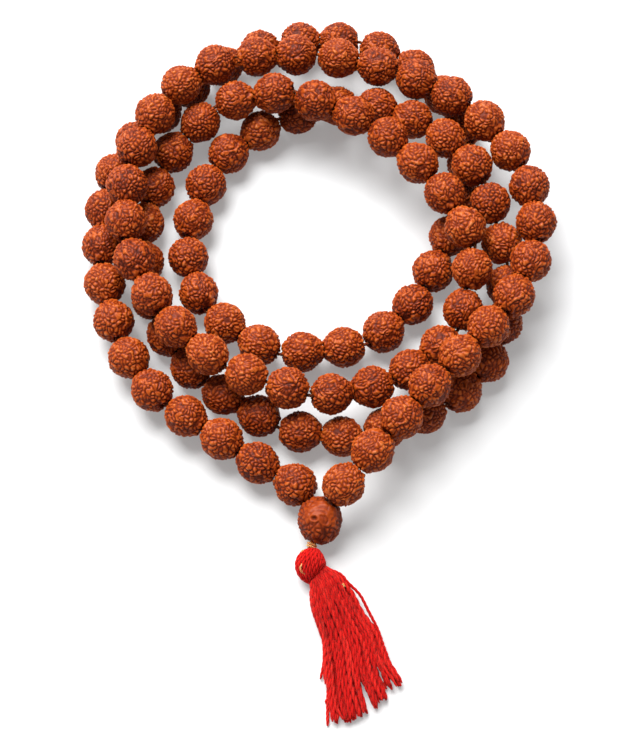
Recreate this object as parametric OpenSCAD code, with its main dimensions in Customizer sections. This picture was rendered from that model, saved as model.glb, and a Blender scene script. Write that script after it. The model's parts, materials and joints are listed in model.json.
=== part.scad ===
// Rudraksha mala: 108 counting beads and a guru bead on one thread, closed by a red cotton tassel.
// Millimetres. The strand lies in three and a bit turns on the surface at z = 0, tassel towards -Y.

/* [Beads] */
// Diameter of a counting bead
bead_d = 7.9; // [7.6:0.05:7.95]
// Diameter of the guru bead, which joins the two ends of the strand
guru_d = 8.5; // [8.2:0.1:8.8]
// Diameter of the hole drilled through a bead
bore_d = 1.6; // [1.5:0.05:1.8]
// Diameter of the funnel that a seed has at each end of its hole
mouth_d = 3; // [2.4:0.1:3.2]
// Depth of that funnel, from the bead's outermost point
mouth_depth = 0.9; // [0.6:0.1:1.2]

/* [Thread] */
// Diameter of the stringing thread
string_d = 0.7; // [0.5:0.05:0.75]

/* [Tassel] */
// Diameter of the neck, the two thread ends between the guru bead and the tassel
neck_d = 1.3; // [1:0.1:1.4]
// Largest diameter of the tassel's head
head_d = 5.2; // [4.6:0.1:5.4]
// Length of the head, from its top to the middle of the binding
head_l = 6.4; // [6:0.1:7]
// Diameter of the tied waist
waist_d = 3.6; // [3.2:0.1:4]
// Thickness of the yarn wound around the waist
binding_t = 0.5; // [0.3:0.1:0.7]
// Length of the wound part
binding_l = 1.8; // [1.4:0.1:2.4]
// Width of the skirt at its cut end
skirt_w = 15.5; // [12:0.5:17]
// Thickness of the skirt at its cut end
skirt_t = 2; // [1.6:0.1:2.4]

/* [Hidden] */
bead_count = 108;
pair_count = bead_count / 2;
bead_r = bead_d / 2;
guru_r = guru_d / 2;
string_r = string_d / 2;
bead_gap = 0.1; // clearance between the guru bead and each of its neighbours
string_sides = 8;
spline_steps = 12; // samples of the route between two of its points
curve_fn = 48;

// The guru bead's centre, and the way the tassel's neck and the bead's old stem scar face.
guru_c = [0, -30.5, guru_r];
neck_dir = unit([-1.3, -4.6, -0.9]);
scar_dir = unit([-0.8, -1.3, 4.1]);

// The strand's route through the beads' centres, from the guru bead around and back to it.
route = [
    [4, -25.5, 8.5], [17.5, -10, 12], [37.5, 13.5, 11.5], [40, 34, 11], [27, 52.5, 11.5],
    [3, 63, 10], [-22, 60, 11], [-35, 43, 11], [-35.5, 20.5, 11.5], [-21.5, 0, 11.5],
    [3, -7.5, 9], [23.5, 4.5, 5.5], [28, 23.5, 11.5], [12, 45.5, 11.5], [-10.5, 54.5, 11],
    [-27.5, 46.5, 5], [-34, 24.5, 4], [-24.5, 0, 4], [1, -14, 4], [27, -4.5, 4],
    [35.5, 15.5, 4], [29.5, 38, 11], [14, 52.5, 7.5], [-3.5, 54, 4], [-20.5, 41.5, 4],
    [-24.5, 18, 4.5], [-8.5, 3, 5], [15, 9.5, 4], [28.5, 40, 4], [23, 60, 4],
    [5, 69.5, 5], [-17, 66, 4], [-38, 45, 4], [-41.5, 21, 5], [-34, -2, 5.5],
    [-18, -15, 5], [-4.5, -23.5, 4]
];

// Vectors and the strand's curve
function unit(v) = v / norm(v);
function last(list) = list[len(list) - 1];
function spline_point(a, b, c, d, t) =
    (2 * b + (c - a) * t + (2 * a - 5 * b + 4 * c - d) * pow(t, 2) + (3 * b - a - 3 * c + d) * pow(t, 3)) / 2;

// The first and last beads touch the guru bead, in the directions that the route leaves it.
guru_pitch = guru_r + bead_r + bead_gap;
first_c = guru_c + guru_pitch * unit(route[0] - guru_c);
last_c = guru_c + guru_pitch * unit(last(route) - guru_c);
knots = concat([first_c], [for (i = [1 : len(route) - 2]) route[i]], [last_c]);
guides = concat([2 * knots[0] - knots[1]], knots, [2 * last_c - knots[len(knots) - 2]]);
curve = concat(
    [for (i = [1 : len(guides) - 3], j = [0 : spline_steps - 1])
        spline_point(guides[i - 1], guides[i], guides[i + 1], guides[i + 2], j / spline_steps)],
    [last_c]
);
// How far along the curve each of its samples is
run = [for (i = 0, s = 0; i < len(curve); i = i + 1, s = s + norm(curve[min(i, len(curve) - 1)] - curve[i - 1])) s];
run_x = [for (i = [0 : len(curve) - 1]) [run[i], curve[i].x]];
run_y = [for (i = [0 : len(curve) - 1]) [run[i], curve[i].y]];
run_z = [for (i = [0 : len(curve) - 1]) [run[i], curve[i].z]];
pitch = last(run) / (bead_count - 1);

// Centre of a counting bead, numbered from 1 at the guru bead. None lies lower than the surface lets it.
function along(s) = [lookup(s, run_x), lookup(s, run_y), max(bead_r, lookup(s, run_z))];
centres = [for (i = [0 : bead_count - 1]) along(i * pitch)];
function bead_centre(n) = centres[n - 1];

// Two neighbours share one straight hole line, on which they turn together.
function pair_axis(k) = unit(bead_centre(2 * k) - bead_centre(2 * k - 1));
function hole_start(k) = bead_centre(2 * k - 1) - bead_r * pair_axis(k);
function hole_end(k) = bead_centre(2 * k) + bead_r * pair_axis(k);
function pair_name(k) = str("beads_", k < 10 ? "0" : "", k);

// The thread: straight through each pair, bent between pairs, both ends down through the guru bead.
end_offset = string_r * unit(cross(neck_dir, [0, 0, 1])) * -1.1;
end_depth = guru_r - 1;
string_path = concat(
    [guru_c + end_depth * neck_dir + end_offset, guru_c + end_offset],
    [hole_start(1)],
    [for (k = [1 : pair_count - 1]) (hole_end(k) + hole_start(k + 1)) / 2],
    [hole_end(pair_count)],
    [guru_c - end_offset, guru_c + end_depth * neck_dir - end_offset]
);

// Places along the tassel: the neck's two pivots, the head's top, the waist and the skirt's cut end
neck_start = guru_c + guru_r * neck_dir;
neck_end = neck_start + 0.8 * neck_dir;
head_dir = unit([1.2, -6.5, -0.8]);
head_top = neck_end + (neck_d / 2 + 0.1) * head_dir;
waist_c = head_top + head_l * head_dir;
skirt_bend_c = waist_c + [3.4, -8.6, -0.3];
skirt_end_c = [8.2, -64.4, skirt_t / 2];
skirt_dir = unit(skirt_end_c - skirt_bend_c);
skirt_corners = [for (side = [-1, 1]) skirt_end_c + side * skirt_w / 2 * [-skirt_dir.y, skirt_dir.x, 0]];

// The model's own origin is in the middle of its outline on the surface it lies on.
low = [min([for (c = centres) c.x]) - bead_r, min([for (c = skirt_corners) c.y]), 0];
high = [max([for (c = centres) c.x]) + bead_r, max([for (c = centres) c.y]) + bead_r, 0];
origin = (low + high) / 2;

pair_names = [for (k = [1 : pair_count]) pair_name(k)];

// Stands the children's +Z along a direction, at a place in the strand's layout.
module at(place, dir = [0, 0, 1]) {
    translate(place - origin) rotate([0, acos(unit(dir).z), atan2(dir.y, dir.x)]) children();
}

// What a drill and the seed's funnels take out of a bead along its Z axis
module hole(ball_r) {
    reach = ball_r + 1;
    throat = ball_r - mouth_depth;
    rotate_extrude($fn = curve_fn) polygon([
        [0, -reach], [mouth_d / 2, -reach], [mouth_d / 2, -ball_r], [bore_d / 2, -throat],
        [bore_d / 2, throat], [mouth_d / 2, ball_r], [mouth_d / 2, reach], [0, reach]
    ]);
}

module bead() {
    difference() {
        sphere(d = bead_d, $fn = curve_fn);
        hole(bead_r);
    }
}

module bead_pair(k) {
    color([0.63, 0.31, 0.13]) {
        at(bead_centre(2 * k - 1), pair_axis(k)) bead();
        at(bead_centre(2 * k), pair_axis(k)) bead();
    }
}

// One arm of the guru bead's three-way hole, from the bead's middle outwards
module guru_arm(dir, arm_d) {
    at(guru_c, dir) cylinder(d = arm_d, h = guru_d, $fn = curve_fn);
}

// The guru bead's funnel where the tassel's neck comes out, wide enough for the neck to swing
module guru_mouth() {
    at(guru_c + (guru_r - mouth_depth) * neck_dir, neck_dir)
        cylinder(d1 = bore_d, d2 = 3 * mouth_d, h = 2 * mouth_depth, $fn = curve_fn);
}

// The scar of the seed's stem, a ringed dimple on top of the guru bead
module stem_scar() {
    scar_d = 0.9;
    scar_depth = 1.4;
    at(guru_c + (guru_r - scar_depth) * scar_dir, scar_dir)
        cylinder(d = scar_d, h = 2 * scar_depth, $fn = curve_fn);
}

module guru_bead() {
    color([0.66, 0.34, 0.14]) difference() {
        at(guru_c) sphere(d = guru_d, $fn = curve_fn);
        guru_arm(hole_start(1) - guru_c, bore_d);
        guru_arm(hole_end(pair_count) - guru_c, bore_d);
        guru_arm(neck_dir, bore_d + string_d / 2);
        guru_mouth();
        stem_scar();
    }
}

// Rings of a tube: each is the one before it, carried along to the plane that halves the next bend.
function bend_normal(path, i) =
    unit(unit(path[min(i + 1, len(path) - 1)] - path[min(i, len(path) - 2)]) + unit(path[max(i, 1)] - path[max(i - 1, 0)]));
function carried(ring, dir, place, normal) = [for (p = ring) p + dir * ((place - p) * normal) / (dir * normal)];
function first_ring(path, r, sides) =
    let (dir = unit(path[1] - path[0]), side = unit(cross(dir, [0, 0, 1])), up = cross(side, dir))
    [for (a = [0 : 360 / sides : 359]) path[0] + r * (side * cos(a) + up * sin(a))];
function tube_rings(path, r, sides) = [
    for (
        i = 0, ring = first_ring(path, r, sides);
        i < len(path);
        i = i + 1,
        ring = i < len(path) ? carried(ring, unit(path[i] - path[i - 1]), path[i], bend_normal(path, i)) : ring
    ) ring
];

module tube(path, r, sides) {
    rings = tube_rings(path, r, sides);
    last_ring = (len(path) - 1) * sides;
    walls = [
        for (i = [0 : len(path) - 2], j = [0 : sides - 1])
        let (a = i * sides + j, b = i * sides + (j + 1) % sides)
        [a, b, b + sides, a + sides]
    ];
    caps = [[for (j = [sides - 1 : -1 : 0]) j], [for (j = [0 : sides - 1]) last_ring + j]];
    polyhedron(points = [for (ring = rings, p = ring) p], faces = concat(walls, caps), convexity = 20);
}

module string() {
    color([0.85, 0.45, 0.25]) translate(-origin) tube(string_path, string_r, string_sides);
}

// Both thread ends, with a round end in the guru bead's funnel and another on the tassel's head
neck_l = norm(neck_end - neck_start);
neck_outline = concat(
    [for (t = [0 : 15 : 90]) [sin(t), -cos(t)] * neck_d / 2],
    [for (t = [90 : 15 : 180]) [0, neck_l] + [sin(t), -cos(t)] * neck_d / 2]
);

module tassel_neck() {
    color([0.88, 0.5, 0.3]) at(neck_start, neck_dir) rotate_extrude($fn = curve_fn) polygon(neck_outline);
}

// Half outline of the head: a round bulb that draws in to the waist
head_outline = [for (t = [0 : 10 : 130]) [head_d / 2 * sin(t), head_d / 2 * (1 - cos(t))]];

module tassel_head() {
    color([0.8, 0.08, 0.08]) at(head_top, head_dir) rotate_extrude($fn = curve_fn)
        polygon(concat(head_outline, [[waist_d / 2, head_l - binding_l / 2], [waist_d / 2, head_l], [0, head_l]]));
}

module tassel_binding() {
    color([0.74, 0.06, 0.06]) at(waist_c - binding_l / 2 * head_dir, head_dir) rotate_extrude($fn = curve_fn)
        translate([waist_d / 2 + 0.05, 0]) square([binding_t, binding_l]);
}

// A flat lens across the skirt, this wide and this thick
module skirt_slice(place, dir, w, t) {
    slice_l = 0.4;
    at(place, dir) rotate([0, 0, 90]) linear_extrude(slice_l) scale([1, t / w]) circle(d = w, $fn = 32);
}

module tassel_skirt() {
    color([0.8, 0.07, 0.07]) {
        at(waist_c, head_dir) cylinder(d = waist_d - 0.05, h = binding_l / 2 + 0.1, $fn = curve_fn);
        hull() {
            skirt_slice(waist_c + binding_l / 2 * head_dir, head_dir, waist_d, waist_d);
            skirt_slice(skirt_bend_c, skirt_dir, skirt_w * 0.62, skirt_t * 1.7);
            skirt_slice(skirt_end_c - 0.4 * skirt_dir, skirt_dir, skirt_w, skirt_t);
        }
    }
}

string();
guru_bead();
for (k = [1 : pair_count]) bead_pair(k);
tassel_neck();
tassel_head();
tassel_binding();
tassel_skirt();
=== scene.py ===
# Rudraksha mala: 108 counting beads and a guru bead on one thread, closed by a red cotton tassel.
# Lengths are in millimetres and are scaled by MM where they reach Blender, whose unit is the metre.
# The strand lies on z = 0, with its tassel towards -Y.
import json
import math

import bmesh
import bpy
import numpy as np
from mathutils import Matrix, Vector


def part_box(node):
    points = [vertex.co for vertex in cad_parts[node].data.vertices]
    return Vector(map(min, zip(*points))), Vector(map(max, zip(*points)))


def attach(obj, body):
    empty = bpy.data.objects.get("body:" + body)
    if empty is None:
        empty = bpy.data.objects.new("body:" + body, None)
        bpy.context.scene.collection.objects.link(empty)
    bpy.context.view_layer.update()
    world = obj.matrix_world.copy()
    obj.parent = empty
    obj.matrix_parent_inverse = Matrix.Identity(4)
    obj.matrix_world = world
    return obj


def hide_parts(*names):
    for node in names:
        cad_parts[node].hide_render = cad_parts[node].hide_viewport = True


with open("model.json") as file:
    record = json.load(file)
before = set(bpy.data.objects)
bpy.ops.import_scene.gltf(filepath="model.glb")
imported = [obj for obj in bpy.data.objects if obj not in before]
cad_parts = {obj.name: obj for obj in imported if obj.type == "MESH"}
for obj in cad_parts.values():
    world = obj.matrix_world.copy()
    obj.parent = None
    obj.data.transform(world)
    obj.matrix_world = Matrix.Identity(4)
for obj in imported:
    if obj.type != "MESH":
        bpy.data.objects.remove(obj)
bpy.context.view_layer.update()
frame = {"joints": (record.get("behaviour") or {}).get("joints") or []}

MM = 0.001

# Beads, as in the CAD model
BEAD_R = 3.95
GURU_R = 4.25
BORE_R = 0.8
MOUTH_R = 1.5
PAIRS = 54

# Thread, neck and tassel
THREAD_D = 0.7
THREAD_LAY = 2.1
YARN_D = 0.8

rng = np.random.default_rng(108)


# ---------------------------------------------------------------- vectors and places

def unit(v):
    v = np.asarray(v, float)
    return v / np.linalg.norm(v)


def joint(name):
    """A joint's pivot in millimetres, and its axis."""
    found = next(j for j in frame["joints"] if j["name"] == name)
    return np.array(found["pos_m"]) / MM, unit(found["axis"])


def bead_pair(k):
    """Centres of the two beads of pair k, in stringing order."""
    middle, axis = joint(f"beads_{k:02d}_spin")
    low, high = (np.array(corner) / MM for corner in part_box(f"beads_{k:02d}"))
    apart = np.linalg.norm(high - low - 2 * BEAD_R)
    return middle - axis * apart / 2, middle + axis * apart / 2


pairs = [bead_pair(k) for k in range(1, PAIRS + 1)]
neck_start, _ = joint("tassel_sway")
neck_end, _ = joint("tassel_lift")
neck_dir = unit(neck_end - neck_start)
guru_c = neck_start - GURU_R * neck_dir


# ---------------------------------------------------------------- meshes and tubes

def new_piece(name, points, faces, body, slot, look, replaced, **values):
    """A mesh from points in millimetres, riding on a body. values are numbers per point for its look.

    What would dip below the table is pressed flat on it.
    """
    points = np.array(points, float)
    points[:, 2] = np.maximum(points[:, 2], 0)
    mesh = bpy.data.meshes.new(name)
    mesh.from_pydata((points * MM).tolist(), [], faces)
    mesh.validate()
    for key, numbers in values.items():
        layer = mesh.attributes.new(key, "FLOAT", "POINT")
        layer.data.foreach_set("value", np.asarray(numbers, np.float32))
    mesh.polygons.foreach_set("use_smooth", [True] * len(mesh.polygons))
    mesh.materials.append(look)
    piece = bpy.data.objects.new(name, mesh)
    bpy.context.scene.collection.objects.link(piece)
    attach(piece, body)
    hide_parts(*replaced)
    return piece


def evenly(path, step):
    """The path again, with points a step apart."""
    path = np.asarray(path, float)
    along = np.concatenate([[0], np.cumsum(np.linalg.norm(np.diff(path, axis=0), axis=1))])
    at = np.linspace(0, along[-1], max(3, round(along[-1] / step) + 1))
    return np.stack([np.interp(at, along, path[:, i]) for i in range(3)], axis=1)


def eased(path, reach):
    """The path with its corners rounded by a mean over reach points each side. Its ends stay."""
    padded = np.concatenate([
        2 * path[0] - path[reach:0:-1],
        path,
        2 * path[-1] - path[-2:-reach - 2:-1],
    ])
    weights = np.hanning(2 * reach + 3)[1:-1]
    weights /= weights.sum()
    return np.stack([np.convolve(padded[:, i], weights, "valid") for i in range(3)], axis=1)


def curve_through(points, steps):
    """A Catmull-Rom curve through the points."""
    points = np.asarray(points, float)
    padded = np.concatenate([[2 * points[0] - points[1]], points, [2 * points[-1] - points[-2]]])
    t = np.linspace(0, 1, steps, endpoint=False)[:, None]
    spans = []
    for a, b, c, d in zip(padded, padded[1:], padded[2:], padded[3:]):
        square = 2 * a - 5 * b + 4 * c - d
        cube = 3 * b - a - 3 * c + d
        spans.append((2 * b + (c - a) * t + square * t ** 2 + cube * t ** 3) / 2)
    return np.concatenate([*spans, points[-1:]])


def frames_along(path):
    """Two directions across the path at each point, carried along without twist."""
    tangent = np.gradient(path, axis=0)
    tangent /= np.maximum(np.linalg.norm(tangent, axis=1), 1e-9)[:, None]
    start = np.array([0, 0, 1.0]) if abs(tangent[0][2]) < 0.9 else np.array([1.0, 0, 0])
    side = np.empty_like(path)
    side[0] = unit(np.cross(tangent[0], start))
    for i in range(1, len(path)):
        carried = side[i - 1] - tangent[i] * (side[i - 1] @ tangent[i])
        side[i] = carried / max(np.linalg.norm(carried), 1e-9)
    return side, np.cross(tangent, side)


# A ply's width as a share of its yarn's: two plies press into each other more than three do.
FULL_PLY = 0.67
ROUND_PLY = 0.5
# How much lighter each ply is than the one before
PLY_SHADE = 0.06


class Tubes:
    """Gathers closed tubes into one mesh. Its points know how far along and round their tube they are."""

    def __init__(self):
        self.points, self.faces, self.along, self.around, self.shade = [], [], [], [], []
        self.count = 0

    def add(self, path, radius, sides, shade, phase=0.0):
        """One tube, with a flat cap at each end. radius is a number or one per point."""
        side, up = frames_along(path)
        radius = np.broadcast_to(np.asarray(radius, float), (len(path),))
        turn = np.arange(sides) * 2 * math.pi / sides
        ring = side[:, None] * np.cos(turn)[:, None] + up[:, None] * np.sin(turn)[:, None]
        self.points.append((path[:, None] + ring * radius[:, None, None]).reshape(-1, 3))
        run = np.concatenate([[0], np.cumsum(np.linalg.norm(np.diff(path, axis=0), axis=1))])
        self.along.append(np.repeat(run + phase, sides))
        self.around.append(np.tile(turn, len(path)))
        self.shade.append(np.full(len(path) * sides, shade))
        first = self.count
        for i in range(len(path) - 1):
            a = first + i * sides
            self.faces += [
                (a + j, a + (j + 1) % sides, a + sides + (j + 1) % sides, a + sides + j)
                for j in range(sides)
            ]
        last = first + (len(path) - 1) * sides
        self.faces.append(tuple(first + j for j in range(sides - 1, -1, -1)))
        self.faces.append(tuple(last + j for j in range(sides)))
        self.count += len(path) * sides

    def twisted(self, path, width, plies, lay, sides, shade, phase=0.0):
        """A yarn of plies that turn once in every lay. width is a number or one per point."""
        side, up = frames_along(path)
        run = np.concatenate([[0], np.cumsum(np.linalg.norm(np.diff(path, axis=0), axis=1))])
        width = np.broadcast_to(np.asarray(width, float), (len(path),))
        ply_r = width / 2 * (FULL_PLY if plies == 2 else ROUND_PLY)
        for n in range(plies):
            angle = 2 * math.pi * (run / lay + n / plies) + phase
            reach = (width / 2 - ply_r)[:, None]
            middle = path + reach * (side * np.cos(angle)[:, None] + up * np.sin(angle)[:, None])
            self.add(middle, ply_r, sides, shade + PLY_SHADE * n, phase * 3)

    def values(self):
        """The numbers per point that the fibre looks read."""
        return {
            "along": np.concatenate(self.along),
            "around_x": np.cos(np.concatenate(self.around)),
            "around_y": np.sin(np.concatenate(self.around)),
            "shade": np.concatenate(self.shade),
        }


def tube_piece(name, tubes, body, slot, look, replaced):
    """A piece made of all the tubes."""
    return new_piece(name, np.concatenate(tubes.points), tubes.faces, body, slot, look, replaced,
                     **tubes.values())


# ---------------------------------------------------------------- materials

def colour(r, g, b):
    """A linear colour from screen values of 0 to 255."""
    def linear(c):
        c /= 255
        return c / 12.92 if c <= 0.04045 else ((c + 0.055) / 1.055) ** 2.4
    return linear(r), linear(g), linear(b), 1


def new_look(name):
    look = bpy.data.materials.new(name)
    look.use_nodes = True
    return look, look.node_tree, look.node_tree.nodes["Principled BSDF"]


def add_node(tree, kind, **settings):
    made = tree.nodes.new(kind)
    for key, value in settings.items():
        if key in made.inputs:
            made.inputs[key].default_value = value
        else:
            setattr(made, key, value)
    return made


def attribute(tree, name):
    return add_node(tree, "ShaderNodeAttribute", attribute_name=name).outputs["Fac"]


def maths(tree, operation, a, b):
    made = add_node(tree, "ShaderNodeMath", operation=operation)
    for socket, value in zip(made.inputs, (a, b)):
        if isinstance(value, (int, float)):
            socket.default_value = value
        else:
            tree.links.new(value, socket)
    return made.outputs[0]


def ramp(tree, fac, stops):
    made = add_node(tree, "ShaderNodeValToRGB")
    elements = made.color_ramp.elements
    elements[0].position, elements[0].color = stops[0]
    elements[1].position, elements[1].color = stops[-1]
    for position, value in stops[1:-1]:
        elements.new(position).color = value
    tree.links.new(fac, made.inputs[0])
    return made.outputs[0]


def noise(tree, vector, scale, detail=3.0, roughness=0.6):
    made = add_node(tree, "ShaderNodeTexNoise", Scale=scale, Detail=detail, Roughness=roughness)
    tree.links.new(vector, made.inputs["Vector"])
    return made.outputs["Fac"]


def bump(tree, shader, height, strength, distance):
    made = add_node(tree, "ShaderNodeBump", Strength=strength, Distance=distance)
    tree.links.new(height, made.inputs["Height"])
    tree.links.new(made.outputs[0], shader.inputs["Normal"])


def mixed(tree, *parts):
    """The sum of the parts, each a socket and its weight."""
    total = maths(tree, "MULTIPLY", *parts[0])
    for part in parts[1:]:
        total = maths(tree, "ADD", total, maths(tree, "MULTIPLY", *part))
    return total


def seed_look():
    """Polished rudraksha seed: dark red-brown in the creases, partly its own colour and partly painted
    shade, and lighter pinkish orange-brown on the knob tops, partly painted highlight.
    """
    look, tree, shader = new_look("rudraksha_seed")
    place = add_node(tree, "ShaderNodeTexCoord").outputs["Object"]
    patches = noise(tree, place, 420)
    grain = noise(tree, place, 5200, 4)
    height = attribute(tree, "height")
    # The colour follows the knob height: the dark valleys are partly painted shade and the light knob
    # tops partly painted highlight; patches, grain and each seed's own tone vary it.
    fac = mixed(tree, (height, 1.0), (patches, 0.34), (grain, 0.16), (attribute(tree, "shade"), 0.14))
    base = ramp(tree, maths(tree, "SUBTRACT", fac, 0.3), [
        (0.0, colour(62, 14, 1)),
        (0.3, colour(118, 40, 5)),
        (0.6, colour(150, 63, 13)),
        (0.85, colour(166, 82, 32)),
        (1.0, colour(174, 102, 58)),
    ])
    tree.links.new(base, shader.inputs["Base Color"])
    rough = add_node(tree, "ShaderNodeMapRange")
    shader.inputs["Specular IOR Level"].default_value = 0.14
    rough.inputs["To Min"].default_value = 0.7
    rough.inputs["To Max"].default_value = 0.38
    tree.links.new(fac, rough.inputs["Value"])
    tree.links.new(rough.outputs[0], shader.inputs["Roughness"])
    bump(tree, shader, grain, 0.35, 0.00006)
    return look


def fibre_look(name, dark, middle, light, sheen):
    """Spun fibre: fine streaks along each ply, and a tone of its own for each strand."""
    look, tree, shader = new_look(name)
    # A place on the yarn, stretched along it
    across = add_node(tree, "ShaderNodeCombineXYZ")
    scales = {"around_x": 1.6, "around_y": 1.6, "along": 0.55}
    for socket, (key, scale) in zip(across.inputs, scales.items()):
        tree.links.new(maths(tree, "MULTIPLY", attribute(tree, key), scale), socket)
    streaks = noise(tree, across.outputs[0], 2.4, 5, 0.7)
    place = add_node(tree, "ShaderNodeTexCoord").outputs["Object"]
    mottle = noise(tree, place, 900, 3)
    fac = mixed(tree, (streaks, 0.75), (mottle, 0.3), (attribute(tree, "shade"), 0.3))
    base = ramp(tree, fac, [(0.3, dark), (0.62, middle), (0.95, light)])
    tree.links.new(base, shader.inputs["Base Color"])
    shader.inputs["Roughness"].default_value = 0.8
    shader.inputs["Specular IOR Level"].default_value = 0.12
    shader.inputs["Sheen Weight"].default_value = sheen
    shader.inputs["Subsurface Weight"].default_value = 0.7
    shader.inputs["Subsurface Radius"].default_value = (1, 0.25, 0.15)
    shader.inputs["Subsurface Scale"].default_value = 0.001
    shader.inputs["Sheen Roughness"].default_value = 0.4
    bump(tree, shader, streaks, 0.6, 0.00008)
    return look


def floor_look():
    """Pale matt floor that gives off a little light of its own."""
    look, tree, shader = new_look("pale_floor")
    place = add_node(tree, "ShaderNodeTexCoord").outputs["Object"]
    fac = noise(tree, place, 6, 2)
    base = ramp(tree, fac, [(0.3, colour(172, 173, 174)), (0.7, colour(176, 176, 176))])
    tree.links.new(base, shader.inputs["Base Color"])
    shader.inputs["Emission Color"].default_value = (1, 1, 1, 1)
    shader.inputs["Emission Strength"].default_value = 0.26
    shader.inputs["Roughness"].default_value = 0.85
    return look


seed = seed_look()
red_yarn = fibre_look(
    "red_yarn", colour(138, 4, 2), colour(166, 8, 4), colour(184, 28, 20), 0.03)
orange_thread = fibre_look(
    "orange_thread", colour(150, 70, 34), colour(190, 112, 62), colour(214, 152, 100), 0.1)
# The stringing thread is the same orange thread as the neck, painted dark brown as painted shade for
# where it runs between the beads.
thread_in_painted_shade = fibre_look(
    "thread_in_painted_shade", colour(40, 16, 8), colour(82, 36, 16), colour(126, 62, 30), 0.1)


# ---------------------------------------------------------------- camera

CAMERA_TARGET = (0.4, -3.4, 0)
CAMERA_ELEVATION = math.radians(68)
CAMERA_DISTANCE = 400
LONG_SIDE = 36
LENS = 101.5


def add_camera():
    data = bpy.data.cameras.new("camera")
    data.sensor_width = LONG_SIDE
    data.lens = LENS
    camera = bpy.data.objects.new("camera", data)
    bpy.context.scene.collection.objects.link(camera)
    back = Vector((0, -math.cos(CAMERA_ELEVATION), math.sin(CAMERA_ELEVATION)))
    camera.location = (Vector(CAMERA_TARGET) + back * CAMERA_DISTANCE) * MM
    camera.rotation_euler = (-back).to_track_quat("-Z", "Y").to_euler()
    bpy.context.scene.camera = camera


add_camera()


# ---------------------------------------------------------------- thread through every bead

# The thread's ends lie side by side, so many diameters apart, and stop so far inside the guru bead.
ENDS_APART = 1.1
END_DEPTH = 1
THREAD_STEP = 0.3


def thread_route():
    """Straight through each pair of beads, bent between pairs, with both ends down in the guru bead."""
    aside = THREAD_D / 2 * ENDS_APART * unit(np.cross(neck_dir, [0, 0, 1]))
    inside = guru_c + (GURU_R - END_DEPTH) * neck_dir
    starts = [a - BEAD_R * unit(b - a) for a, b in pairs]
    ends = [b + BEAD_R * unit(b - a) for a, b in pairs]
    between = [(end + start) / 2 for end, start in zip(ends, starts[1:])]
    first = [inside - aside, guru_c - aside, starts[0]]
    final = [ends[-1], guru_c + aside, inside + aside]
    return np.array([*first, *between, *final])


thread_line = eased(evenly(thread_route(), THREAD_STEP), 5)
strands = Tubes()
strands.twisted(thread_line, THREAD_D, plies=3, lay=THREAD_LAY, sides=6, shade=0.5)
# Its dark brown look is painted shade on the orange thread.
thread = tube_piece("stringing_thread", strands, "strand", "thread", thread_in_painted_shade, ["string"])


# ---------------------------------------------------------------- seeds

BALL_CUTS = 6
KNOBS = 300
GURU_KNOBS = 230
# The tallest knobs stand this far above the CAD ball, and the valleys lie RELIEF below them.
TOPS = 0.1
RELIEF = 0.46
GURU_TOPS = 0.08
GURU_RELIEF = 0.4
FUNNEL_DEPTH = 0.22
LARGER_BY_GURU = 1.015
SHAPES = 16
END_ANGLE = math.radians(22)
END_SPREAD = math.radians(14)
# How far a seed's end fills out, as a share of its size, and how much less per radian of bend
END_FULLNESS = 0.08
LESS_PER_BEND = 0.12
LEAST_FULLNESS = 0.035


def ball_mesh(hole):
    """Points and triangles of a unit ball. hole is the radius of its straight hole along Z, or 0."""
    mesh = bmesh.new()
    bmesh.ops.create_icosphere(mesh, subdivisions=BALL_CUTS, radius=1)
    inside = [v for v in mesh.verts if v.co.xy.length < hole]
    if inside:
        bmesh.ops.delete(mesh, geom=inside, context="VERTS")
        rims = [e for e in mesh.edges if e.is_boundary]
        for v in {v for e in rims for v in e.verts}:
            v.co.xy = v.co.xy.normalized() * hole
            v.co.z = math.copysign(math.sqrt(1 - hole ** 2), v.co.z)
        bmesh.ops.bridge_loops(mesh, edges=rims)
        bmesh.ops.triangulate(mesh, faces=[f for f in mesh.faces if len(f.verts) > 3])
        bmesh.ops.recalc_face_normals(mesh, faces=mesh.faces[:])
    mesh.verts.index_update()
    points = np.array([v.co[:] for v in mesh.verts])
    faces = [tuple(v.index for v in f.verts) for f in mesh.faces]
    mesh.free()
    return points, faces


def scattered(count, spread, own):
    """Points spread evenly over the unit ball on a spiral, then nudged."""
    golden = math.pi * (3 - math.sqrt(5))
    z = 1 - 2 * (np.arange(count) + 0.5) / count
    turn = golden * np.arange(count)
    ring = np.sqrt(1 - z ** 2)
    points = np.stack([ring * np.cos(turn), ring * np.sin(turn), z], axis=1)
    points += own.normal(0, spread, (count, 3))
    return points / np.linalg.norm(points, axis=1)[:, None]


def waves(points, own, size, low, high):
    """Three smooth random fields over the points."""
    field = np.zeros_like(points)
    for i in range(3):
        phase = own.uniform(0, 2 * math.pi, 3)
        often = own.uniform(low, high, 3)
        field[:, i] = size * sum(
            np.sin(points[:, (i + 1 + n) % 3] * often[n] + phase[n])
            for n in range(3)
        )
    return field


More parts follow.
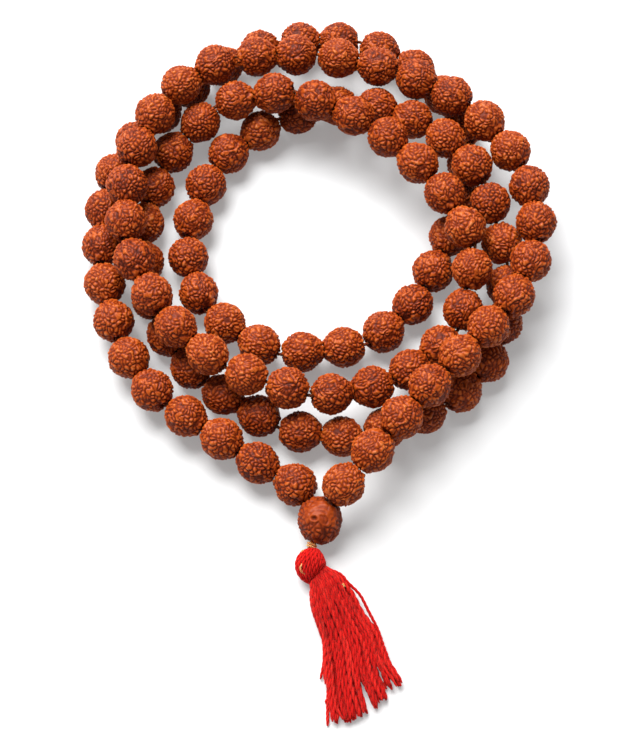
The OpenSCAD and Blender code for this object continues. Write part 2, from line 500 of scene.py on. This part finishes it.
def knobby(ball, own, knobs, faces_of_seed):
    """Height of a seed's knobs over the unit ball, 1 at most, less in the grooves that part its faces."""
    spacing = math.sqrt(4 * math.pi / knobs)
    longer = np.array([1, 1, own.uniform(0.72, 0.95)])
    middles = scattered(knobs, 0.3 * spacing, own)
    tallness = own.uniform(0.74, 1.0, knobs)
    warped = ball + waves(ball, own, 0.026, 7, 11)
    warped /= np.linalg.norm(warped, axis=1)[:, None]
    apart = np.linalg.norm((warped[:, None] - middles[None]) * longer, axis=2)
    nearest = np.argpartition(apart, 2, axis=1)[:, :2]
    far = np.take_along_axis(apart, nearest, 1)
    order = np.argsort(far, axis=1)
    nearest = np.take_along_axis(nearest, order, 1)
    far = np.take_along_axis(far, order, 1)
    # Some neighbours have grown together into ridges.
    joined = np.sin(nearest.min(1) * 12.9898 + nearest.max(1) * 78.233 + middles[0, 0]) * 43758.5453
    merged = np.clip((joined - np.floor(joined) - 0.74) / 0.15, 0, 1) * 0.6
    rise = np.clip((far[:, 1] - far[:, 0]) / (0.95 * spacing), 0, 1)
    dome = 1 - (1 - rise) ** 1.45
    height = (merged + (1 - merged) * dome) * tallness[nearest[:, 0]]
    # Shallow grooves run from one end of the hole to the other.
    turn = np.arctan2(ball[:, 1], ball[:, 0]) + own.uniform(0, 6) + 0.12 * np.sin(6 * ball[:, 2])
    to_groove = 1 - 2 * np.abs((turn * faces_of_seed / (2 * math.pi)) % 1 - 0.5)
    width = to_groove * 2 * math.pi / faces_of_seed / 2 * np.hypot(ball[:, 0], ball[:, 1])
    groove = np.clip(1 - width / 0.06, 0, 1) ** 1.5 * np.clip((0.93 - np.abs(ball[:, 2])) / 0.1, 0, 1)
    return height * (1 - 0.5 * groove) - 0.12 * groove


drilled, drilled_faces = ball_mesh(BORE_R / BEAD_R)
from_hole = np.hypot(drilled[:, 0], drilled[:, 1]) * BEAD_R
on_wall = from_hole < 1.001 * BORE_R
funnel = np.clip((MOUTH_R - from_hole) / (MOUTH_R - BORE_R), 0, 1)
# How much a point belongs to the worn end of a seed, where it sits against the next one
end_share = np.exp(-((np.arcsin(np.clip(from_hole / BEAD_R, 0, 1)) - END_ANGLE) / END_SPREAD) ** 2)


def seed_shape(number):
    """One seed's points about its own middle, hole along Z, and the height that its colour follows,
    lowered in the hole and its mouth as painted shade.
    """
    own = np.random.default_rng(1000 + number)
    height = knobby(drilled, own, KNOBS, int(own.choice([4, 5, 5, 5, 6])))
    lumps = waves(drilled, own, 0.03, 1.5, 3)[:, 0]
    radius = BEAD_R + TOPS - RELIEF * (1 - height) + lumps - FUNNEL_DEPTH * funnel
    # In the hole and its funnelled mouth the colour is darkened as painted shade.
    return drilled * radius[:, None], np.clip(height, 0, 1) * (1 - 0.6 * funnel)


def basis(direction, turn):
    """Rows X, Y, Z of a frame whose Z is the direction, turned about it."""
    z = unit(direction)
    x = unit(np.cross([0.3, 0.2, 1.0] if abs(z[2]) < 0.9 else [1, 0, 0], z))
    y = np.cross(z, x)
    return np.array([
        math.cos(turn) * x + math.sin(turn) * y,
        math.cos(turn) * y - math.sin(turn) * x,
        z,
    ])


def seated(points, fullness):
    """The seed with its ends at -Z and +Z filled out towards its neighbours. Its bore stays straight."""
    fuller = 1 + end_share * np.where(points[:, 2] < 0, *fullness)
    points = points * fuller[:, None]
    points[on_wall, :2] *= (BORE_R / np.hypot(points[on_wall, 0], points[on_wall, 1]))[:, None]
    return points


def fullness_at(axis, next_axis):
    """How far a seed's end fills out: most on a straight stretch, and less where the strand bends."""
    bend = math.acos(min(1, float(axis @ next_axis)))
    return max(LEAST_FULLNESS, END_FULLNESS - LESS_PER_BEND * bend)


shapes = [seed_shape(n) for n in range(SHAPES)]
order = [int(n) for n in rng.permutation(np.arange(2 * PAIRS) % SHAPES)]
axes = [unit(b - a) for a, b in pairs]
for k, (pair, axis) in enumerate(zip(pairs, axes), 1):
    before = axes[k - 2] if k > 1 else unit(pair[0] - guru_c)
    after = axes[k] if k < PAIRS else unit(guru_c - pair[1])
    for place, centre in enumerate(pair):
        number = 2 * k - 1 + place
        behind = axis if place else before
        ahead = after if place else axis
        fullness = [fullness_at(axis, behind), fullness_at(axis, ahead)]
        points, height = shapes[order[number - 1]]
        flip = rng.choice([-1, 1])
        size = np.array([rng.uniform(0.985, 1.03)] * 2 + [rng.uniform(1, 1.02)])
        if number in (1, 2 * PAIRS):
            size *= LARGER_BY_GURU
        points = seated(points * size, fullness[::flip])
        placed = points @ basis(axis * flip, rng.uniform(0, 2 * math.pi)) + centre
        new_piece(f"bead_{number:03d}", placed, drilled_faces, f"beads_{k:02d}", "rudraksha_seed", seed,
                  [f"beads_{k:02d}"], height=height, shade=np.full(len(points), rng.uniform(0, 1)))


# ---------------------------------------------------------------- guru bead

# Where the scar, the loop beside it and the middle of the folds round them lie, and their half sizes
SCAR_DIR = unit([-0.26, -0.18, 0.95])
LOOP_DIR = unit([0.19, -0.25, 0.95])
FOLDS_DIR = unit([0.0, -0.12, 1])
SCAR_SIZE = np.array([0.58, 0.38])
LOOP_SIZE = np.array([1.05, 0.7])
GURU_SHADE = -0.1
PIT_DEPTH = 0.22
# The seed is a little longer than wide, and longer still towards the tassel.
GURU_STRETCH = np.array([0.975, 1.02, 1])
LONGER_BELOW = 1.03
# A low collar stands round each hole that faces a neighbour.
COLLAR = 0.35
COLLAR_R = 1.8
HOLE_DENT = 1.2
DRILLED = [unit(pairs[0][0] - guru_c), unit(pairs[-1][1] - guru_c), neck_dir]


def arc_from(ball, direction):
    """How far each point of the guru bead is from where a direction leaves it, along its surface."""
    return np.arccos(np.clip(ball @ unit(direction), -1, 1)) * GURU_R


def oval(ball, direction, size, turn):
    """1 along an oval about a direction on top of the guru bead, less inside it and more outside."""
    x = unit(np.cross([0, 1, 0], direction))
    y = np.cross(direction, x)
    u, v = ball @ x * GURU_R, ball @ y * GURU_R
    u, v = u * math.cos(turn) + v * math.sin(turn), v * math.cos(turn) - u * math.sin(turn)
    return np.where(ball @ direction > 0, np.hypot(u / size[0], v / size[1]), 99)


def line_at(distance, middle, width):
    """1 where a distance is at its middle, fading over that width."""
    return np.exp(-((distance - middle) / width) ** 2)


def guru_seed():
    """A larger seed with a stem's ringed scar on top, folds round it, and a dent at each hole."""
    own = np.random.default_rng(7)
    ball, faces = ball_mesh(0)
    height = knobby(ball, own, GURU_KNOBS, 5)
    wobble = waves(ball, own, 0.1, 3, 6)[:, 0]
    scar = oval(ball, SCAR_DIR, SCAR_SIZE, -0.15) + wobble
    loop = oval(ball, LOOP_DIR, LOOP_SIZE, -0.5) + wobble
    out = arc_from(ball, FOLDS_DIR) + 1.5 * wobble
    folded = np.clip((4.2 - out) / 1.4, 0, 1) * np.clip(0.5 + 2.2 * (ball[:, 1] + 0.2), 0.2, 1)
    folds = 0.72 + 0.14 * np.cos(2 * math.pi * (out - 0.4) / 0.95)
    height = height * (1 - 0.8 * folded) + folded * (0.6 * folds + 0.2 * height)
    height = height * (1 - 0.15 * line_at(loop, 0.4, 0.4))
    height = height + (0.78 - height) * 0.8 * line_at(loop, 1.15, 0.26)
    height = height + (0.82 - height) * 0.85 * line_at(scar, 1.55, 0.42)
    pit = np.clip(1.2 - scar, 0, 1)
    height = height * (1 - 0.85 * np.minimum(1.1 * pit, 1))
    radius = GURU_R + GURU_TOPS - GURU_RELIEF * (1 - height) - PIT_DEPTH * pit
    arcs = [arc_from(ball, d) for d in DRILLED]
    radius += COLLAR * sum(line_at(arc, COLLAR_R, 0.9) for arc in arcs[:2])
    funnels = np.minimum(sum(np.clip(1 - (arc - BORE_R) / (MOUTH_R - BORE_R), 0, 1) for arc in arcs), 1)
    dents = np.minimum(sum(np.clip(1 - arc / BORE_R, 0, 1) ** 0.5 for arc in arcs), 1)
    radius -= 0.25 * funnels + HOLE_DENT * dents
    shape = ball * radius[:, None] * GURU_STRETCH
    shape[:, 1] *= np.where(shape[:, 1] < 0, LONGER_BELOW, 1)
    # The colour follows this height in a narrower range, so the pit and valleys come out darker, partly
    # painted shade, and the hole mouths go dark as painted shade.
    return shape + guru_c, faces, (0.1 + 0.58 * np.clip(height, 0, 1)) * (1 - funnels)


points, faces, height = guru_seed()
new_piece("guru_seed", points, faces, "strand", "rudraksha_seed", seed, ["guru_bead"],
          height=height, shade=np.full(len(points), GURU_SHADE))


# ---------------------------------------------------------------- neck of the tassel

# The neck and its wraps lie this far to the left of their CAD piece.
NECK_LEFT = np.array([-0.15, 0, 0])
WRAPS_LEFT = np.array([-0.25, 0, 0])
WRAPS = 1.9
WRAPS_R = 0.8
WRAPS_LENGTH = 0.9


def thread_neck():
    """Both ends of the thread side by side, and a finer thread wrapped round them."""
    tubes = Tubes()
    down = evenly([neck_start - 0.9 * neck_dir, neck_end + 0.7 * neck_dir], 0.1)
    side = unit(np.cross(neck_dir, [0, 0, 1]))
    for n in (-1, 1):
        strand = down + n * 0.32 * side + NECK_LEFT
        tubes.twisted(strand, 0.62, plies=3, lay=THREAD_LAY, sides=8, shade=0.7 + 0.1 * n)
    up = np.cross(side, neck_dir)
    turn = np.linspace(0, 2 * math.pi * WRAPS, 60)
    around = np.cos(turn)[:, None] * side + np.sin(turn)[:, None] * up
    wrap = (neck_start + neck_end)[None] / 2 + WRAPS_LEFT + WRAPS_R * around
    wrap += neck_dir * ((turn / turn[-1] - 0.35) * WRAPS_LENGTH)[:, None]
    tubes.twisted(wrap, 0.42, plies=3, lay=1.6, sides=8, shade=0.9)
    return tubes


tube_piece("neck_thread", thread_neck(), "tassel_neck", "thread", orange_thread, ["tassel_neck"])


# ---------------------------------------------------------------- tassel

# Plan of the skirt, from its waist towards its cut ends: x to the right, and y falling towards the tips
WAIST_LEFT = np.array([-1.6, -45.3])
WAIST_RIGHT = np.array([1.3, -42.0])
WAIST_Z = 2.4
WAIST_THICK = 3.0
LEFT_EDGE = [
    (-1.3, -45.4), (-0.9, -49.4), (0.2, -52.9), (1.1, -55.7), (1.4, -60), (1.7, -65), (2.3, -72.5),
]
RIGHT_EDGE = [
    (1.2, -42), (4.1, -44), (6.2, -47.1), (8.0, -50.2), (10.6, -53.9), (11.8, -57), (13.2, -60),
    (15.2, -63.5), (16.2, -65.3),
]
# The skirt parts at these shares of its width, each from that share of its length on.
PARTINGS = [(0.15, 0.9), (0.53, 0.78), (0.79, 0.76), (0.9, 0.8)]
PARTING_HALF = 0.062
# The y that the cut ends reach at each share of the width
CUT = [
    (0, -62.2), (0.03, -65.5), (0.069, -66), (0.07, -70.6), (0.17, -70.6), (0.3, -70.2),
    (0.42, -69.3), (0.529, -68.6), (0.53, -68.1), (0.62, -67.1), (0.789, -66.2), (0.79, -64.8),
    (0.9, -64.2), (1, -63.6),
]
YARN_STEP = 0.22
HEAD_YARNS = 22
# Yarns in each layer of the skirt, from the table up
LAYERS = [14, 19, 20, 17]
CORE_SCALE = 0.86
BINDING_D = 0.32
BINDING_TURNS = 2.2
BINDING_LENGTH = 0.5
# How far round the head, from its right over its top, the orange thread shows
SHOWING_ANGLE = 2.5

# Which way the head points, and how far its top lies to the left of its CAD piece
HEAD_DIR = unit([0.18, -0.976, -0.12])
HEAD_LEFT = np.array([-0.35, 0, 0])
SKIRT_DIR = unit(np.array([5.5, -20]))
waist_across = (WAIST_RIGHT - WAIST_LEFT) / 2
waist_middle = (WAIST_RIGHT + WAIST_LEFT) / 2


def bulb_point(angle, t):
    """On the head's outside: angle around it, and t from its top, 0, to the tied waist, 1."""
    waist = np.array([*waist_middle, WAIST_Z])
    waist = waist + math.cos(angle) * 0.86 * np.array([*waist_across, 0])
    waist = waist + math.sin(angle) * WAIST_THICK / 2 * np.array([0, 0, 1])
    top = neck_end + 0.35 * HEAD_DIR + HEAD_LEFT
    side = unit([-HEAD_DIR[1], HEAD_DIR[0], 0])
    radial = math.cos(angle) * side + math.sin(angle) * np.cross(HEAD_DIR, side)
    # The head bulges more on its left, where the waist slants away from the neck.
    left = (1 - math.cos(angle)) / 2
    p0 = top + 0.5 * radial
    p1 = top + (1.6 + 1.5 * left) * radial + 0.2 * HEAD_DIR
    p2 = waist + (0.55 + 2.55 * left) * radial - (0.6 + 1.5 * left) * HEAD_DIR
    return (1 - t) ** 3 * p0 + 3 * t * (1 - t) ** 2 * p1 + 3 * t ** 2 * (1 - t) * p2 + t ** 3 * waist


def head_yarns():
    """Yarns folded over the neck and drawn together at the waist."""
    tubes = Tubes()
    for n in range(HEAD_YARNS):
        start = 2 * math.pi * n / HEAD_YARNS
        swirl = rng.normal(0, 0.12) + 0.25
        t = np.linspace(0, 1, 40)
        path = np.array([bulb_point(start + swirl * (x - 0.5), x) for x in t])
        middle = path.mean(0)
        path = middle + (path - middle) * (1 - 0.02 * rng.random())
        path = eased(evenly(path, YARN_STEP), 2)
        along = np.linspace(0, 1, len(path))
        width = YARN_D * 1.05 * np.interp(along, [0, 0.15, 0.85, 1], [0.6, 1, 1, 0.75])
        shade = rng.uniform(0.2, 0.8)
        tubes.twisted(path, width, plies=3, lay=3.0, sides=7, shade=shade, phase=rng.uniform(0, 6))
    return tubes


def core():
    """The yarn inside the head, which the outer yarns lie on."""
    rows, sides = 16, 24
    middle = np.mean([bulb_point(a, t) for a in (0, math.pi) for t in (0.1, 0.9)], axis=0)
    points = [
        middle + (bulb_point(2 * math.pi * n / sides, t) - middle) * CORE_SCALE
        for t in np.linspace(0.02, 1, rows) for n in range(sides)
    ]
    faces = [
        (i + j, i + (j + 1) % sides, i + sides + (j + 1) % sides, i + sides + j)
        for i in range(0, (rows - 1) * sides, sides) for j in range(sides)
    ]
    faces.append(tuple(range(sides - 1, -1, -1)))
    faces.append(tuple((rows - 1) * sides + j for j in range(sides)))
    return points, faces


def flow(edge, t):
    """The places along an edge of the skirt, in plan, at shares t of its length."""
    line = curve_through([(*p, 0) for p in edge], 10)
    run = np.concatenate([[0], np.cumsum(np.linalg.norm(np.diff(line, axis=0), axis=1))])
    return np.stack([np.interp(t * run[-1], run, line[:, i]) for i in range(2)], axis=1)


def skirt_yarn(share, layer):
    """One yarn from the waist to its cut end: share is its place across, layer its place in height."""
    t = np.linspace(0, 1, 60)
    drift = rng.normal(0, 0.03) * np.sin(t * math.pi * 0.9)
    across = np.clip(share + drift, 0, 1)
    for parting, start in PARTINGS:
        off = share - parting
        push = math.copysign(max(0, PARTING_HALF - abs(off)), off)
        across = across + push * np.clip((t - start + 0.05) / 0.1, 0, 1)
    left, right = flow(LEFT_EDGE, t), flow(RIGHT_EDGE, t)
    plan = left + (right - left) * across[:, None]
    wander = 0.24 * np.interp(t, [0, 0.25, 0.75, 1], [0, 1, 1, 0.4])
    phase = rng.uniform(0, 2 * math.pi, 3)
    sway = np.sin(t * 9 + phase[0]) * 0.6 + np.sin(t * 17 + phase[1]) * 0.4
    plan += (wander * sway)[:, None] * np.array([-SKIRT_DIR[1], SKIRT_DIR[0]])
    high = layer / (len(LAYERS) - 1) * 2 - 1
    rim = math.sqrt(max(0, 1 - (2 * share - 1) ** 2))
    thick = np.interp(t, [0, 0.12, 0.4, 1], [1.35, 1.7, 1.15, 0.72]) * (0.35 + 0.65 * rim)
    middle = np.interp(t, [0, 0.12, 0.4, 1], [WAIST_Z, 2.2, 1.5, 1.05])
    z = middle + high * thick + 0.1 * np.sin(t * 12 + phase[2]) * np.clip(t * 4, 0, 1)
    path = np.column_stack([plan, np.maximum(z, YARN_D / 2 + 0.02)])
    path = eased(evenly(path, YARN_STEP), 2)
    path = path[path[:, 1] > np.interp(share, *zip(*CUT)) + abs(rng.normal(0, 0.35))]
    from_end = np.arange(len(path))[::-1] * YARN_STEP
    width = YARN_D * np.interp(from_end, [0, 0.8, 2], [0.45, 0.85, 1]) * rng.uniform(0.85, 1.12)
    width *= np.interp(np.linspace(0, 1, len(path)), [0, 0.2], [0.7, 1])
    return path, width


def skirt_layer(layer):
    """All the yarns of one layer of the skirt, side by side."""
    tubes = Tubes()
    for n in range(LAYERS[layer]):
        share = (n + 0.5 + rng.uniform(-0.25, 0.25)) / LAYERS[layer]
        path, width = skirt_yarn(share, layer)
        lay = rng.uniform(2.8, 4.2)
        shade = rng.uniform(0, 1)
        tubes.twisted(path, width, plies=2, lay=lay, sides=8, shade=shade, phase=rng.uniform(0, 6))
    return tubes


def lone_yarn(tubes, plan, heights, width, knot=0.0):
    """A yarn that lies apart from the others, tapered at its end. knot is the y of its knot, if any."""
    line = curve_through([(*p, 0) for p in plan], 12)
    line[:, 2] = np.interp(np.linspace(0, 1, len(line)), np.linspace(0, 1, len(heights)), heights)
    path = eased(evenly(line, YARN_STEP), 2)
    from_end = np.arange(len(path))[::-1] * YARN_STEP
    wide = width * np.interp(from_end, [0, 0.6, 1.5], [0.5, 0.9, 1])
    if knot:
        wide = wide * (1 + 0.8 * np.exp(-((path[:, 1] - knot) / 0.35) ** 2))
    shade = rng.uniform(0, 0.9)
    tubes.twisted(path, wide, plies=3, lay=3.0, sides=7, shade=shade, phase=rng.uniform(0, 6))


def lone_yarns():
    """A short yarn and a long knotted one on the left, and one that bows out on the right."""
    tubes = Tubes()
    short = [
        (-1.3, -46.5), (-1, -49.6), (0.1, -52.9), (1, -55.6), (1.15, -58.5), (0.85, -60.8),
        (0.45, -62.4),
    ]
    knotted = [(-0.8, -46.8), (0.2, -51.5), (1.4, -56), (1.9, -61), (1.8, -66.3), (1.75, -70.8)]
    bowed = [
        (1.4, -42.3), (4.1, -43.5), (5.35, -45), (7.6, -47.3), (9.1, -50.2), (10.7, -53.4),
        (11.8, -56.6), (12.8, -59.3),
    ]
    lone_yarn(tubes, short, [2.2, 1.6, 1.0, 0.6], 0.62)
    lone_yarn(tubes, knotted, [2.2, 1.4, 0.8, 0.45], 0.7, knot=-66.4)
    lone_yarn(tubes, bowed, [2.6, 2.8, 2.4, 1.8, 1.4], 0.62)
    return tubes


def waist_binding():
    """A little over two turns of fine yarn that tie the waist."""
    tubes = Tubes()
    turn = np.linspace(0, 2 * math.pi * BINDING_TURNS, 150)
    along = unit([0.66, -0.75, 0])
    around = np.array([
        [*(waist_middle + math.cos(a) * 0.95 * waist_across), WAIST_Z + math.sin(a) * WAIST_THICK / 2]
        for a in turn
    ])
    path = around + along * ((turn / turn[-1] - 0.5) * BINDING_LENGTH)[:, None]
    tubes.twisted(evenly(path, 0.15), BINDING_D, plies=2, lay=1.4, sides=7, shade=0.4)
    return tubes


def showing_thread():
    """The orange thread where it shows between the yarns: on the head's left, and once on the skirt."""
    tubes = Tubes()
    t = np.linspace(0.06, 0.9, 60)
    outward = np.array([math.cos(SHOWING_ANGLE), 0, math.sin(SHOWING_ANGLE)])
    show = np.maximum(line_at(t, 0.16, 0.07), line_at(t, 0.7, 0.13))
    path = np.array([bulb_point(SHOWING_ANGLE + 0.1 * math.sin(9 * x), x) for x in t])
    path += (0.9 * show - 0.4)[:, None] * outward
    tubes.twisted(evenly(path, 0.15), 0.42, plies=2, lay=1.3, sides=7, shade=0.7)
    path, _ = skirt_yarn(0.9, len(LAYERS) - 0.8)
    tubes.twisted(path[22:26], 0.45, plies=2, lay=1.3, sides=7, shade=0.8)
    return tubes


def tassel_piece(name, tubes, replaced):
    tube_piece(name, tubes, "tassel", "red_yarn", red_yarn, [replaced])


tassel_piece("head_yarns", head_yarns(), "tassel_head")
points, faces = core()
new_piece("head_core", points, faces, "tassel", "red_yarn", red_yarn, ["tassel_head"],
          along=[p[1] * 3 for p in points], around_x=[p[0] * 3 for p in points],
          around_y=[p[2] * 3 for p in points], shade=[0.2] * len(points))
tassel_piece("waist_binding", waist_binding(), "tassel_binding")
for layer in range(len(LAYERS)):
    tassel_piece(f"skirt_yarns_{layer + 1}", skirt_layer(layer), "tassel_skirt")
tassel_piece("lone_yarns", lone_yarns(), "tassel_skirt")
tube_piece("showing_thread", showing_thread(), "tassel", "thread", orange_thread, ["tassel_head"])


# ---------------------------------------------------------------- floor and light, in metres

FLOOR_HALF = 1.5


def add_floor():
    mesh = bpy.data.meshes.new("floor")
    corners = [(x * FLOOR_HALF, y * FLOOR_HALF, 0) for x, y in ((-1, -1), (1, -1), (1, 1), (-1, 1))]
    mesh.from_pydata(corners, [], [(0, 1, 2, 3)])
    mesh.materials.append(floor_look())
    floor = bpy.data.objects.new("floor", mesh)
    bpy.context.scene.collection.objects.link(floor)


def add_soft_light(name, place, size, power):
    """A square lamp, facing the origin, which lies on the table at the middle of the part."""
    data = bpy.data.lights.new(name, "AREA")
    data.size = size
    data.energy = power
    lamp = bpy.data.objects.new(name, data)
    lamp.location = place
    lamp.rotation_euler = (-Vector(place)).to_track_quat("-Z", "Y").to_euler()
    bpy.context.scene.collection.objects.link(lamp)


def add_sky(overhead, low_down):
    """White light from all sides, of one strength overhead and another low down."""
    world = bpy.data.worlds.new("sky")
    bpy.context.scene.world = world
    world.use_nodes = True
    tree = world.node_tree
    background = tree.nodes["Background"]
    background.inputs["Color"].default_value = (1, 1, 1, 1)
    height = add_node(tree, "ShaderNodeSeparateXYZ")
    tree.links.new(add_node(tree, "ShaderNodeTexCoord").outputs["Generated"], height.inputs[0])
    fade = add_node(tree, "ShaderNodeMapRange", interpolation_type="SMOOTHSTEP")
    tree.links.new(height.outputs["Z"], fade.inputs["Value"])
    fade.inputs["From Max"].default_value = 0.32
    fade.inputs["To Min"].default_value = low_down
    fade.inputs["To Max"].default_value = overhead
    tree.links.new(fade.outputs[0], background.inputs["Strength"])


add_floor()
add_soft_light("key_light", (-0.3, 0.6, 1.0), 0.9, 44)
add_sky(0.33, 0.9)
bpy.context.scene.view_settings.view_transform = "Standard"
